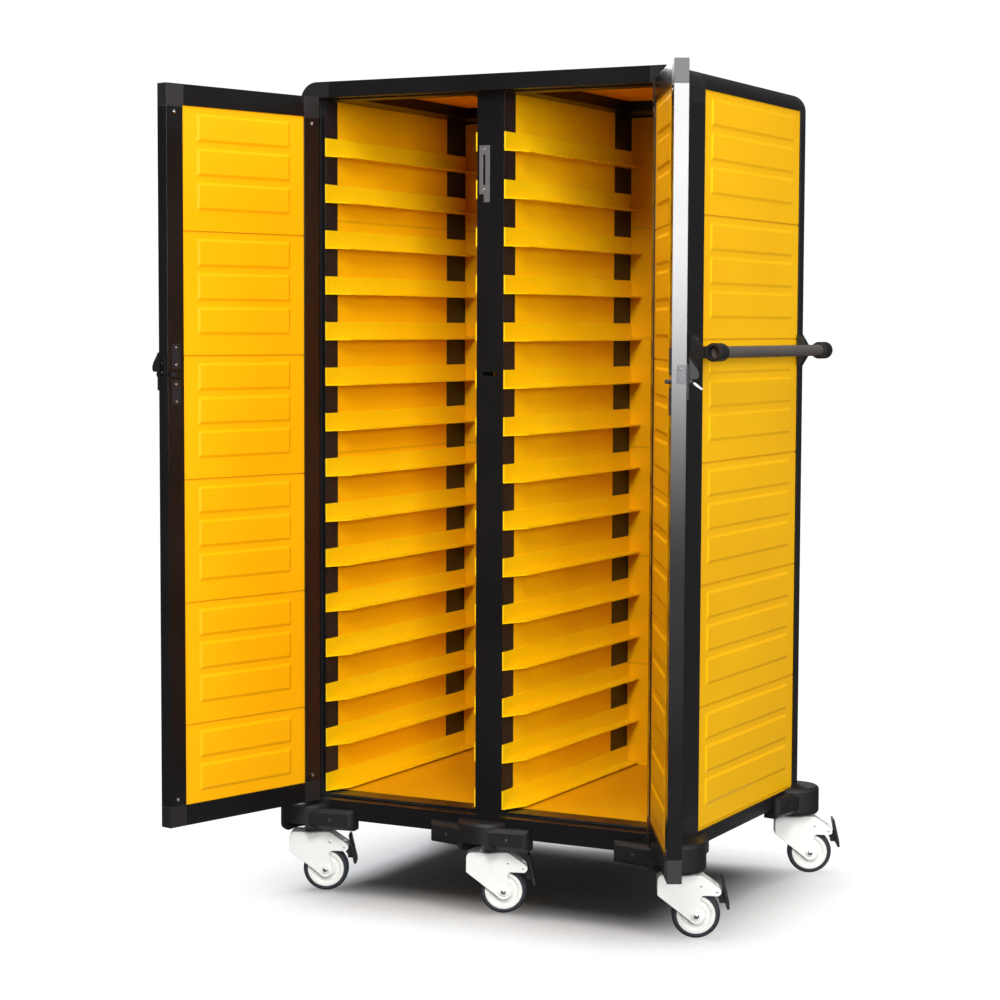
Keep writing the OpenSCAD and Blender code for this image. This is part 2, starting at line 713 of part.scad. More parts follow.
// An arm from the lobe's middle along -x. It slants towards the cabinet and reaches under it.
module arm(l) translate([0, arm_out, 0]) rotate([0, 0, arm_bend]) intersection() {
    along_x(-l, 0) translate([0, bumper_z + (lobe_h - arm_h) / 2])
        polygon([[-arm_out, 0], [-12, 0], [0, 10], [0, arm_h - 8], [-8, arm_h], [-arm_out, arm_h]]);
    translate([0, 0, bumper_z - cut]) linear_extrude(lobe_h + 2 * cut) polygon(concat(
        [[cut, -arm_out - cut], [cut, cut], [cut - l + tip_r, cut]],
        arc([tip_r - l, -tip_r], tip_r + cut / 4, 90, 170, 4),
        [[-cut - l, -tip_r - cut], [-cut - l, -arm_out - cut]]));
}

// The caster's top plate, as far as the cabinet's edges; a middle plate is centred on its axis
module plate_slab(middle) box(
    [middle ? -plate_l / 2 : caster_side - plate_l, caster_end - plate_l, plate_z],
    [middle ? plate_l / 2 : caster_side, caster_end, body_z]);

// Room for the caster's neck, socket and plate
module caster_room(middle) {
    translate([0, 0, bumper_z - cut]) cylinder(r = pocket_r, h = pocket_h + cut, $fn = fine);
    box([-pocket_r, 0, bumper_z - cut], [pocket_r, lobe_r + cut, bumper_z + pocket_h]);
    translate([0, 0, socket_z - cut]) cylinder(r = socket_r, h = body_z - socket_z + cut, $fn = fine);
    plate_slab(middle);
}

// Room for the cabinet over the bumper's inner part
module cabinet_room() box([-body_w / 2, 0, body_z], [body_w / 2, body_d / 2, body_z + lobe_h]);

module corner_bumpers() color(black) for (x = [-1, 1], y = [-1, 1]) quarter(x, y) difference() {
    union() {
        translate([caster_x[2], caster_y[1], 0]) lobe();
        translate([caster_x[2], body_d / 2, 0]) arm(arm_l);
        translate([body_w / 2, caster_y[1], 0]) mirror([1, -1, 0]) arm(arm_l);
    }
    cabinet_room();
    translate([caster_x[2], caster_y[1], 0]) caster_room(false);
}

module centre_bumpers() color(black) for (y = [-1, 1]) quarter(1, y) difference() {
    union() {
        translate([0, caster_y[1], 0]) lobe();
        for (s = [0, 1]) translate([0, body_d / 2, 0]) mirror([s, 0, 0]) arm(centre_arm_l);
    }
    cabinet_room();
    translate([0, caster_y[1], 0]) caster_room(true);
}

// ---------------------------------------------------------------- casters

fork_clear = 5;                                           // gap between the tyre and the fork
fork_back = 38;                                           // the crown's length behind the swivel axis
boss_r = 17;                                              // the cheeks' round ends
pivot = [trail + 42, wheel_r + 50];                       // the pedal's pivot
ear_r = 9;                                                // the tail's round end
slot_r = 12;                                              // radius of the knuckle's slot in the tail
knuckle_w = 14;                                           // width of the pedal's knuckle
foot_plate_w = 40;                                        // width of the pedal's foot plate
pivot_r = 3;
pivot_gap = 0.05;
play = 0.5;                                               // end play between moving faces

module at_caster(i) translate([caster_x[i % 3], caster_y[floor(i / 3)], 0]) rotate([0, 0, trail_angle])
    children();

// Top plate with the swivel socket; one beside each bumper lobe
module caster_plates() color("#b9bbbe") for (x = [-1, 0, 1], y = [-1, 1]) quarter(x, y)
    translate([abs(x) * caster_x[2], caster_y[1], 0]) difference() {
        union() {
            plate_slab(x == 0);
            translate([0, 0, socket_z]) cylinder(r = socket_r, h = body_z - socket_z, $fn = fine);
        }
        translate([0, 0, socket_z - cut])
            cylinder(r = stem_r + stem_gap, h = body_z - socket_z - plate_t / 2 + cut, $fn = fine);
    }

// Side view of a cheek: crown, diagonal to the round end at the axle, arch over the tyre and tail
module cheek() polygon(concat(
    arc([10 - fork_back, crown_z - 12], 12, 90, 180),
    [[-fork_back - 2, wheel_r + 42]],
    arc(axle, boss_r, 215, 380, 12),
    arc([trail + 16, wheel_r + 34], 8, 170, 100, 4),
    arc(pivot, ear_r, 260, 410, 8),
    arc([trail + 4, crown_z - 16], 16, 60, 90, 3)));

module caster_fork(i) color("#eeeeec") at_caster(i) {
    difference() {
        along_y(-fork_w / 2, fork_w / 2) cheek();
        along_y(-fork_gap / 2, fork_gap / 2) {
            translate(axle) circle(wheel_r + fork_clear, $fn = fine);
            rect([-wheel_r, 0], [2 * wheel_r + trail, wheel_r]);
        }
        along_y(-knuckle_w / 2 - play, knuckle_w / 2 + play) translate(pivot) {
            circle(slot_r, $fn = fine);
            rect([0, -slot_r], [2 * slot_r, 0]);
        }
    }
    translate([axle[0], 0, axle[1]]) rotate([90, 0, 0]) {
        cylinder(r = axle_r, h = fork_w, center = true, $fn = fine);
        for (s = [-1, 1]) translate([0, 0, s * (fork_w / 2 + 1)])
            cylinder(r = axle_r + 4, h = 4, center = true, $fn = fine);
    }
    translate([pivot[0], 0, pivot[1]]) rotate([90, 0, 0])
        cylinder(r = pivot_r, h = fork_w - 4, center = true, $fn = fine);
    rotate_extrude($fn = fine) polygon([[0, crown_z - 6], [neck_r + 8, crown_z - 6],
        [neck_r + 8, crown_z - 1], [neck_r, crown_z + 7], [neck_r, socket_z - play],
        [stem_r, socket_z - play], [stem_r, body_z - plate_t / 2 - 2], [0, body_z - plate_t / 2 - 2]]);
}

// Draws an outline in (radius, width) round the axle
module round_axle() translate([axle[0], 0, axle[1]]) rotate([90, 0, 0]) rotate_extrude($fn = 2 * fine)
    children();

module caster_wheel(i) color("#e6e6e2") at_caster(i) difference() {
    union() {
        round_axle() {
            rect([0, -fork_gap / 2 + 1], [axle_r + 9, fork_gap / 2 - 1]);
            rect([0, -5], [wheel_r - tyre_t - 4, 5]);
            rect([wheel_r - tyre_t - 8, -tyre_w / 2 + 1], [wheel_r - tyre_t, tyre_w / 2 - 1]);
        }
        for (a = [0:60:120]) translate([axle[0], 0, axle[1]]) rotate([0, a, 0])
            box([-wheel_r + tyre_t + 4, -tyre_w / 2 + 4, -2], [wheel_r - tyre_t - 4, tyre_w / 2 - 4, 2]);
    }
    translate([axle[0], 0, axle[1]]) rotate([90, 0, 0])
        cylinder(r = axle_r + axle_gap, h = fork_gap, center = true, $fn = fine);
}

module caster_tyre(i) color("#2a2b2d") at_caster(i) round_axle() polygon([
    [wheel_r - tyre_t, -tyre_w / 2], [wheel_r - 5, -tyre_w / 2], [wheel_r - 1, -tyre_w / 2 + 4],
    [wheel_r, -tyre_w / 2 + 8], [wheel_r, tyre_w / 2 - 8], [wheel_r - 1, tyre_w / 2 - 4],
    [wheel_r - 5, tyre_w / 2], [wheel_r - tyre_t, tyre_w / 2]]);

// Rocking brake pedal: a knuckle in the fork's tail, an arm with a shoe behind the tyre, a foot plate
module caster_pedal(i) color(black) at_caster(i) difference() {
    union() {
        along_y(-knuckle_w / 2, knuckle_w / 2) {
            translate(pivot) circle(ear_r - 2, $fn = fine);
            translate(pivot) polygon([[4, 5], [19, -9], [23, -27], [7, -27], [6, -19], [-5, -4]]);
        }
        along_y(-foot_plate_w / 2, foot_plate_w / 2) translate(pivot)
            polygon([[9, 26], [13, 27], [27, -34], [26, -38], [22, -38], [20, -34]]);
    }
    translate([pivot[0], 0, pivot[1]]) rotate([90, 0, 0])
        cylinder(r = pivot_r + pivot_gap, h = fork_w, center = true, $fn = fine);
}

// ---------------------------------------------------------------- assembly

front_frame();
rear_frame();
frame_corners();
long_rails();
ceiling_rails();
centre_post();
side_panel_left();
side_panel_right();
back_panel();
top_panel();
floor_panel();
divider_panel();
floor_bearers();
rail_posts();
for (k = [1:4]) tray_rails(k);
push_bars();
bar_brackets();
hinge_brackets();
keeper_plate();
corner_bumpers();
centre_bumpers();
caster_plates();
door_left_frame();
door_left_panel();
door_left_hinge_leaves();
door_left_latch_case();
door_left_latch_lever();
door_right_frame();
door_right_panel();
door_right_hinge_leaves();
door_right_latch_case();
door_right_latch_lever();
for (i = [0:5]) {
    caster_fork(i);
    caster_wheel(i);
    caster_tyre(i);
    caster_pedal(i);
}
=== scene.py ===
# %% [markdown]
# # An enclosed meal tray cart
# A tall insulated cabinet on six casters: black profiles, golden yellow panels with pressed-out
# pads, fifteen pairs of tray rails in each bay, two doors that stand open, and a push bar at each
# side. The shapes come from the solid model. This file gives them their surfaces and the small
# fittings.

# %% Load the solid model
import json
import math
import bmesh
import bpy
from mathutils import Matrix, Vector


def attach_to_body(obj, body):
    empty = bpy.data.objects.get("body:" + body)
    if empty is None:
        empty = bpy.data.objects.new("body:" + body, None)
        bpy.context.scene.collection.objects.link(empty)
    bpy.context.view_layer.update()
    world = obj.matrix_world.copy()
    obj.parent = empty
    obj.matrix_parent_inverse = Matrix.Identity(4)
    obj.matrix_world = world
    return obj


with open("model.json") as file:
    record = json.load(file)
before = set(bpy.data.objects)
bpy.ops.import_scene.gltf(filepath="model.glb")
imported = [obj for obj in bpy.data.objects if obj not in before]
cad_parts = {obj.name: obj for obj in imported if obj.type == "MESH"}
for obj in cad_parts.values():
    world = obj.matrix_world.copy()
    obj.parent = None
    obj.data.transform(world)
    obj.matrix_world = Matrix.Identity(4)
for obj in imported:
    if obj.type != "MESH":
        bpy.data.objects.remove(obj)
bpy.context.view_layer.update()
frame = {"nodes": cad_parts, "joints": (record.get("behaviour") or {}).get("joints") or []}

nodes = frame["nodes"]
joints = {joint["name"]: joint for joint in frame["joints"]}

# %% [markdown]
# ## Where things are
# The solid model was drawn in millimetres from the cabinet's front lower left corner. Fittings are
# easiest to place the same way, so one matrix takes those numbers to metres on the floor. The doors
# stand open, so each has a second matrix that swings it about its hinge pin. The frame tells where
# the pin is, and how far the door must turn to be shut. Measuring in the closed door and swinging
# the result is far simpler than working out every screw in the open door.

# %% Cabinet and door frames
BODY_W, BODY_D, BODY_H, BODY_Z = 900, 710, 1610, 170
MM = Matrix.Scale(0.001, 4)                         # a drawing's millimetres to metres
CABINET = Matrix.Translation((-BODY_W / 2000, -BODY_D / 2000, BODY_Z / 1000)) @ MM
MIRROR = Matrix.Translation((BODY_W, 0, 0)) @ Matrix.Scale(-1, 4, (1, 0, 0))
RIM, SILL = 22, 48                                  # rim beside the doors, foot of the bays
DOOR = dict(x=RIM + 1, y=1, z=SILL - 5, w=425, h=1532, t=28, stile=43, corner=45)
DOOR_END, DOOR_TOP = DOOR["x"] + DOOR["w"], DOOR["z"] + DOOR["h"]


def hung(side):
    """Takes the shut left door's drawing to where this side's door stands."""
    hinge = joints[f"door_{side}_hinge"]
    turn_to_shut = hinge["range_deg"][1 if side == "left" else 0]
    pin = Matrix.Translation(hinge["pos_m"])
    swing = pin @ Matrix.Rotation(math.radians(-turn_to_shut), 4, "Z") @ pin.inverted()
    return swing @ CABINET @ (MIRROR if side == "right" else Matrix())


HUNG = {side: hung(side) for side in ("left", "right")}
for side, matrix in HUNG.items():
    free_corner = matrix @ Vector((DOOR_END, DOOR["y"] + DOOR["t"], DOOR_TOP))
    print(side, "door's free top corner:", [round(v, 3) for v in free_corner])

# %% [markdown]
# ## Node trees written as sums
# A finish or a repeated fitting is a node tree. Clicking or coding each Math node hides the idea,
# so a small class wraps a socket and lets Python's own signs add the Math nodes: `1 - mask` makes a
# Subtract node. The same class serves shader trees and Geometry Nodes trees, because both use the
# same Math node.

# %% A socket that takes part in sums
class Wire:
    def __init__(self, plan, socket):
        self.plan, self.socket = plan, socket

    def sum(self, operation, *terms):
        return self.plan.node("ShaderNodeMath", {"operation": operation}, dict(enumerate(terms)))

    def __add__(self, other): return self.sum("ADD", self, other)
    def __sub__(self, other): return self.sum("SUBTRACT", self, other)
    def __rsub__(self, other): return self.sum("SUBTRACT", other, self)
    def __mul__(self, other): return self.sum("MULTIPLY", self, other)
    def __truediv__(self, other): return self.sum("DIVIDE", self, other)
    def __mod__(self, other): return self.sum("FLOORED_MODULO", self, other)
    def __gt__(self, other): return self.sum("GREATER_THAN", self, other)
    def __lt__(self, other): return self.sum("LESS_THAN", self, other)
    def __or__(self, other): return self.sum("MAXIMUM", self, other)
    def __abs__(self): return self.sum("ABSOLUTE", self)
    __radd__, __rmul__ = __add__, __mul__


class Plan:
    """A node tree that is written call by call."""

    def __init__(self, tree):
        self.tree = tree

    def node(self, kind, settings=None, sockets=None, out=0):
        made = self.tree.nodes.new(kind)
        for name, value in (settings or {}).items():
            if name == "stops":
                ramp = made.color_ramp.elements
                for n, (place, colour) in enumerate(value):
                    stop = ramp[n] if n < 2 else ramp.new(place)
                    stop.position, stop.color = place, (*colour, 1)
            else:
                setattr(made, name, value)
        for key, value in (sockets or {}).items():
            if isinstance(value, Wire):
                self.tree.links.new(value.socket, made.inputs[key])
            else:
                made.inputs[key].default_value = value
        return Wire(self, made.outputs[out])

    def split(self, vector):
        made = self.node("ShaderNodeSeparateXYZ", sockets={0: vector}).socket.node
        return [Wire(self, s) for s in made.outputs]

    def joined(self, x, y, z):
        return self.node("ShaderNodeCombineXYZ", sockets={0: x, 1: y, 2: z})


sums = [name for name, value in vars(Wire).items() if name.startswith("__") and callable(value)]
print("sums:", sums)

# %% [markdown]
# ## A finish is a shader with a few things that vary
# Every finish starts from one Principled shader. Numbers that are the same all over are set on its
# sockets. What varies is colour, roughness and the small relief, all read from Object coordinates,
# which stay with the piece when it moves. The Bevel node rounds the look of every sharp edge by
# about a millimetre, so each edge catches a thin line of light, as a real moulded or extruded edge
# does, without one extra face.

# %% The finish class
class Finish(Plan):
    def __init__(self, name, **fixed):
        self.material = bpy.data.materials.new(name)
        self.material.use_nodes = True
        super().__init__(self.material.node_tree)
        self.shader = self.tree.nodes["Principled BSDF"]
        for socket, value in fixed.items():
            self.shader.inputs[socket.replace("_", " ")].default_value = value
        self.place = self.node("ShaderNodeTexCoord", out="Object")

    def noise(self, scale, detail=3, stretch=(1, 1, 1)):
        where = self.node("ShaderNodeMapping", sockets={0: self.place, "Scale": stretch})
        return self.node("ShaderNodeTexNoise",
                         sockets={"Vector": where, "Scale": scale, "Detail": detail})

    def ramp(self, factor, *stops):
        return self.node("ShaderNodeValToRGB", {"stops": stops}, {0: factor})

    def smooth(self, value, low, high, to_low=0.0, to_high=1.0):
        return self.node("ShaderNodeMapRange", {"interpolation_type": "SMOOTHSTEP"},
                         {0: value, 1: low, 2: high, 3: to_low, 4: to_high})

    def mixed(self, factor, first, second):
        colours = {0: factor, 6: first, 7: second}
        return self.node("ShaderNodeMix", {"data_type": "RGBA"}, colours, out=2)

    def rounded(self, radius=0.0012):
        return self.node("ShaderNodeBevel", {"samples": 4}, {"Radius": radius})

    def relief(self, height, depth, normal, strength=1.0):
        return self.node("ShaderNodeBump", sockets={
            "Strength": strength, "Distance": depth, "Height": height, "Normal": normal})

    def varies(self, **links):
        for socket, wire in links.items():
            self.tree.links.new(wire.socket, self.shader.inputs[socket.replace("_", " ")])
        return self.material


print("finish class ready")

# %% [markdown]
# ## Black profiles and mouldings
# The frame is dark coated profile, smooth enough to mirror a window softly, joined by moulded
# corner pieces whose fine grain scatters the light and so look greyer. Two finishes tell them
# apart. The black is never zero: a little colour noise and a slow change of roughness keep a large
# dark face from looking cut out.

# %% Black finishes
def black_coat(name, dark, light, rough, grain, grain_depth, bevel=0.0012):
    finish = Finish(name, Specular_IOR_Level=0.35)
    slow, fine = finish.noise(4.0), finish.noise(grain, 2)
    colour = finish.ramp(slow, (0.3, dark), (0.7, light))
    roughness = rough + 0.12 * (slow - 0.5) + 0.06 * (fine - 0.5)
    return finish.varies(Base_Color=colour, Roughness=roughness,
                         Normal=finish.relief(fine, grain_depth, finish.rounded(bevel)))


TONES = {                                           # the darkest and lightest tone of each
    "profile": ((0.0045, 0.0042, 0.0048), (0.0075, 0.0070, 0.0078)),
    "moulded": ((0.0080, 0.0080, 0.0090), (0.0130, 0.0130, 0.0145)),
    "bumper": ((0.0075, 0.0075, 0.0085), (0.0130, 0.0130, 0.0145)),
    "pedal": ((0.0070, 0.0070, 0.0080), (0.0120, 0.0120, 0.0135)),
    "bar": ((0.082, 0.072, 0.066), (0.105, 0.092, 0.084)),
    "seal": ((0.008, 0.008, 0.009), (0.013, 0.013, 0.014))}
profile_black = black_coat("profile_black", *TONES["profile"], 0.30, 260, 0.00006)
moulded_black = black_coat("moulded_black", *TONES["moulded"], 0.48, 900, 0.00025)
bumper_black = black_coat("bumper_black", *TONES["bumper"], 0.50, 620, 0.00030, 0.002)
pedal_black = black_coat("pedal_black", *TONES["pedal"], 0.50, 900, 0.00020)
bar_grey = black_coat("bar_grey", *TONES["bar"], 0.46, 1400, 0.00012)
blacks = (profile_black, moulded_black, bumper_black, pedal_black, bar_grey)
print("black finishes:", [m.name for m in blacks])

# %% [markdown]
# ## Door profiles with moulded corners
# Each door is four profiles plugged into four corner mouldings, and the joint shows as a hair line.
# The solid frame is one piece, so the finish tells corner from profile. It needs to know how far
# along the width of the door a point lies. The door stands at an angle, so that distance is a dot
# product with the door's own direction, followed by plain comparisons with the length of the corner
# pieces.

# %% Door frame finish
CORNER_EDGE = 0.0002                                # half the width of the change of finish
HAIR_LINE = 0.0004, 0.0009                          # the joint is dark to here, and gone there


def door_profile(side):
    matrix = HUNG[side]
    start = matrix @ Vector((DOOR["x"], 0, 0))
    along = (matrix @ Vector((DOOR_END, 0, 0)) - start).normalized()
    finish = Finish(f"door_profile_{side}", Specular_IOR_Level=0.62)
    minus, dot = {"operation": "SUBTRACT"}, {"operation": "DOT_PRODUCT"}
    from_start = finish.node("ShaderNodeVectorMath", minus, {0: finish.place, 1: start})
    across = finish.node("ShaderNodeVectorMath", dot, {0: from_start, 1: along}, out=1)
    up = finish.split(finish.place)[2] - (BODY_Z + DOOR["z"]) / 1000
    half_w, half_h, corner = DOOR["w"] / 2000, DOOR["h"] / 2000, DOOR["corner"] / 1000
    in_x = abs(across - half_w) - (half_w - corner)     # above zero: within a corner's width
    in_z = abs(up - half_h) - (half_h - corner)
    edge = -CORNER_EDGE, CORNER_EDGE
    both = finish.smooth(in_x, *edge) * finish.smooth(in_z, *edge)
    line_x = finish.smooth(abs(in_x), *HAIR_LINE, 1, 0) * (in_z > 0)
    line_z = finish.smooth(abs(in_z), *HAIR_LINE, 1, 0) * (in_x > 0)
    joint = line_x | line_z
    slow, fine = finish.noise(4.0), finish.noise(300, 2)
    dark, light = TONES["profile"]
    colour = finish.ramp(slow, (0.3, dark), (0.7, light))
    colour = finish.mixed(both, colour, (0.013, 0.013, 0.014, 1))
    colour = finish.mixed(joint, colour, (0.002, 0.002, 0.002, 1))
    roughness = 0.21 + 0.23 * both + 0.08 * (slow - 0.5)
    height = fine * (0.15 + 0.6 * both) - 6 * joint
    return finish.varies(Base_Color=colour, Roughness=roughness,
                         Normal=finish.relief(height, 0.00012, finish.rounded()))


door_black = {side: door_profile(side) for side in HUNG}
print("door finishes:", [m.name for m in door_black.values()])

# %% [markdown]
# ## Golden yellow panels and rails
# The panels are pressed from coloured sheet and the rails are moulded. Both are satin: the light
# spreads, yet a window still shows as a soft patch. Sheet like this has a faint orange-peel relief
# and a slightly paler tone where it has been rubbed. Each seam gets a thin darker line of painted
# shade. The seams come every 256 mm down from the top edge, so the distance to the nearest one is
# a modulo of the height.
# The floor panel is yellow only where it faces the bays: its underside has the dark coat that
# closes the cabinet from below.

# %% Yellow finishes
def yellow_sheet(name, top_edge=0, rough=0.38, deep=(0.97, 0.430, 0.0015), pale=(1.0, 0.470, 0.002),
                 segment=None, coated_below=None):
    finish = Finish(name, Specular_IOR_Level=0.24)
    z = finish.split(finish.place)[2]
    slow, fine = finish.noise(2.2, 2), finish.noise(170, 3)
    colour = finish.mixed(finish.smooth(slow, 0.32, 0.68), (*deep, 1), (*pale, 1))
    if segment:
        down = (top_edge - z) % segment
        to_seam = segment / 2 - abs(down - segment / 2)
        # Painted shade: a thin darker line along each seam stands for the shade that falls in it.
        seam_shade = finish.smooth(to_seam, 0.0012, 0.0040, 1, 0) * finish.smooth(top_edge - z, 0.1, 0.11)
        colour = finish.mixed(0.3 * seam_shade, colour, (0.40, 0.18, 0.004, 1))
    if coated_below:
        colour = finish.mixed(z < coated_below, colour, (0.010, 0.010, 0.011, 1))
    roughness = rough + 0.14 * (slow - 0.5) + 0.06 * (fine - 0.5)
    return finish.varies(Base_Color=colour, Roughness=roughness,
                         Normal=finish.relief(fine, 0.00035, finish.rounded(0.0015), 0.6))


SEAM_PITCH = 0.256
SIDE_TOP = (BODY_Z + BODY_H - 40) / 1000            # the panels' top edges
DOOR_PANEL_TOP = (BODY_Z + DOOR_TOP - DOOR["stile"]) / 1000
COAT_TOP = (BODY_Z + SILL - 6) / 1000               # the floor panel is dark below this
side_yellow = yellow_sheet("side_yellow", SIDE_TOP, deep=(0.97, 0.495, 0.0015),
                           pale=(1.0, 0.535, 0.002), segment=SEAM_PITCH)
door_yellow = yellow_sheet("door_yellow", DOOR_PANEL_TOP, segment=SEAM_PITCH)
top_yellow = yellow_sheet("top_yellow", rough=0.55)
divider_yellow = yellow_sheet("divider_yellow", rough=0.34, deep=(0.98, 0.56, 0.003),
                              pale=(1.0, 0.61, 0.004))
floor_yellow = yellow_sheet("floor_yellow", rough=0.34, deep=(0.76, 0.36, 0.003),
                            pale=(0.80, 0.40, 0.004), coated_below=COAT_TOP)
rail_yellow = yellow_sheet("rail_yellow", rough=0.26, deep=(0.98, 0.60, 0.003),
                           pale=(1.0, 0.67, 0.005))
yellows = (side_yellow, door_yellow, top_yellow, divider_yellow, floor_yellow, rail_yellow)
print("yellow finishes:", [m.name for m in yellows])

# %% [markdown]
# ## White casters, tyres and bright metal
# The forks are white moulded nylon with a soft gloss and the odd grey scuff low down, the tyres are
# a dark blue-grey rubber, and pins, screws and plates are zinc-bright steel. Brushed metal is
# streaked: stretching the noise along one axis is enough for parts this small.

# %% Caster and metal finishes
def white_nylon(name, tone, rough):
    finish = Finish(name)
    z = finish.split(finish.place)[2]
    scuffs = finish.smooth(finish.noise(55, 6, (1, 1, 0.35)), 0.60, 0.72)
    scuffs = scuffs * finish.smooth(z, 0.02, 0.12, 1, 0.15)
    colour = finish.mixed(0.35 * scuffs, (*tone, 1), (0.42, 0.42, 0.41, 1))
    fine = finish.noise(500, 2)
    return finish.varies(Base_Color=colour, Roughness=rough + 0.2 * scuffs + 0.08 * (fine - 0.5),
                         Normal=finish.relief(fine, 0.0001, finish.rounded(0.002)))


def bright_metal(name, tone, rough, streak=(1, 1, 12)):
    finish = Finish(name, Metallic=1.0)
    lines = finish.noise(240, 3, streak)
    colour = finish.ramp(lines, (0.3, tuple(0.86 * c for c in tone)), (0.7, tone))
    return finish.varies(Base_Color=colour, Roughness=rough + 0.16 * (lines - 0.5),
                         Normal=finish.relief(lines, 0.00005, finish.rounded(0.0006)))


def tyre_rubber():
    finish = Finish("tyre_rubber", Specular_IOR_Level=0.4)
    fine, slow = finish.noise(420, 4), finish.noise(30, 3)
    colour = finish.ramp(slow, (0.35, (0.016, 0.019, 0.027)), (0.65, (0.028, 0.031, 0.040)))
    return finish.varies(Base_Color=colour, Roughness=0.58 + 0.16 * (slow - 0.5),
                         Normal=finish.relief(fine, 0.0003, finish.rounded(0.001)))


fork_white = white_nylon("fork_white", (0.87, 0.87, 0.85), 0.36)
wheel_white = white_nylon("wheel_white", (0.83, 0.83, 0.79), 0.42)
zinc = bright_metal("zinc", (0.66, 0.67, 0.69), 0.32)
screw_zinc = bright_metal("screw_zinc", (0.74, 0.74, 0.75), 0.24, (1, 1, 1))
screw_dark = bright_metal("screw_dark", (0.20, 0.20, 0.21), 0.34, (1, 1, 1))
plate_steel = bright_metal("plate_steel", (0.40, 0.42, 0.46), 0.46)
plate_dark = bright_metal("plate_dark", (0.055, 0.055, 0.060), 0.30)
rubber_dark = tyre_rubber()
seal_black = black_coat("seal_black", *TONES["seal"], 0.62, 500, 0.0001)
hardware = (fork_white, wheel_white, rubber_dark, seal_black,
            zinc, screw_zinc, screw_dark, plate_steel, plate_dark)
print("caster and metal finishes:", [m.name for m in hardware])

# %% [markdown]
# ## Dressing the solid model
# Each solid keeps its shape and only changes its material slot. A table from the start of a node's
# name to its finish is enough, and anything the table misses would be reported, so no solid stays
# undressed.

# %% Hand out the finishes
CLOTHES = [                                         # a finish, and how the names of its nodes start
    (profile_black, "front_frame rear_frame long_rails ceiling_rails centre_post floor_bearers"),
    (moulded_black, "frame_corners rail_posts bar_brackets hinge_brackets"),
    (side_yellow, "side_panel back_panel"), (top_yellow, "top_panel"),
    (floor_yellow, "floor_panel"), (divider_yellow, "divider_panel"), (rail_yellow, "tray_rails"),
    (bar_grey, "push_bars"), (plate_steel, "keeper_plate"), (zinc, "caster_plates"),
    (bumper_black, "corner_bumpers centre_bumpers"),
    (door_black["left"], "door_left_frame"), (door_black["right"], "door_right_frame"),
    (door_yellow, "door_left_panel door_right_panel"), (moulded_black, "door_left door_right")]
ENDINGS = {"_fork": fork_white, "_wheel": wheel_white, "_tyre": rubber_dark, "_pedal": pedal_black}
bare = []
for name, solid in nodes.items():
    finish = next((m for m, starts in CLOTHES if name.startswith(tuple(starts.split()))), None)
    finish = finish or next((m for end, m in ENDINGS.items() if name.endswith(end)), None)
    if finish is None:
        bare.append(name)
        continue
    for slot in solid.material_slots:
        slot.material = finish
print("dressed:", len(nodes) - len(bare), "bare:", bare)

# %% [markdown]
# ## Fittings that repeat: Geometry Nodes
# A cart like this holds its plates with dozens of equal screws. Modelling one and copying it by
# hand is how mistakes start. A Geometry Nodes tree takes a cloud of points, each with the direction
# it faces, and stands one fitting on every point. Its sizes are named inputs, so the same tree
# makes large and small ones. The result is turned into a plain mesh, one for each body that moves.

# %% The recipe class
class Recipe(Plan):
    def __init__(self, name, **inputs):
        tree = bpy.data.node_groups.new(name, "GeometryNodeTree")
        super().__init__(tree)
        tree.interface.new_socket("Points", in_out="INPUT", socket_type="NodeSocketGeometry")
        tree.interface.new_socket("Finish", in_out="INPUT", socket_type="NodeSocketMaterial")
        for label, value in inputs.items():
            socket = tree.interface.new_socket(label, in_out="INPUT", socket_type="NodeSocketFloat")
            socket.default_value = value
        tree.interface.new_socket("Piece", in_out="OUTPUT", socket_type="NodeSocketGeometry")
        self.start = tree.nodes.new("NodeGroupInput")
        self.end = tree.nodes.new("NodeGroupOutput")

    def given(self, label):
        return Wire(self, self.start.outputs[label])

    def attribute(self, name):
        return self.node("GeometryNodeInputNamedAttribute", {"data_type": "FLOAT_VECTOR"},
                         {"Name": name})

    def done(self, geometry):
        real = self.node("GeometryNodeRealizeInstances", sockets={0: geometry})
        worn = self.node("GeometryNodeSetMaterial",
                         sockets={"Geometry": real, "Material": self.given("Finish")})
        self.tree.links.new(worn.socket, self.end.inputs[0])
        return self

    def make(self, name, mesh, finish, **inputs):
        """Runs the recipe on a mesh and returns the result as a plain object."""
        rough = bpy.data.objects.new(name + "_points", mesh)
        bpy.context.scene.collection.objects.link(rough)
        modifier = rough.modifiers.new("recipe", "NODES")
        modifier.node_group = self.tree
        sockets = {s.name: s.identifier for s in self.tree.interface.items_tree
                   if s.in_out == "INPUT"}
        modifier[sockets["Finish"]] = finish
        for label, value in inputs.items():
            modifier[sockets[label]] = value
        ready = rough.evaluated_get(bpy.context.evaluated_depsgraph_get())
        made = bpy.data.meshes.new_from_object(ready)
        bpy.data.objects.remove(rough)
        bpy.data.meshes.remove(mesh)
        made.name = name
        piece = bpy.data.objects.new(name, made)
        bpy.context.scene.collection.objects.link(piece)
        return piece


def points(name, spots):
    """A mesh of loose points, each with the way it faces and the way its long side runs."""
    mesh = bpy.data.meshes.new(name)
    mesh.from_pydata([s[0] for s in spots], [], [])
    for n, label in enumerate(("facing", "along"), 1):
        layer = mesh.attributes.new(label, "FLOAT_VECTOR", "POINT")
        for at, spot in zip(layer.data, spots):
            at.vector = spot[n] if len(spot) > n else (0, 0, 1)
    return mesh


def placed(matrix, spots):
    """Spots given in a drawing's millimetres, carried to their place on the cart."""
    turn = matrix.to_3x3()
    return [(matrix @ Vector(spot), *((turn @ Vector(way)).normalized() for way in ways))
            for spot, *ways in spots]


print("recipes can be written")

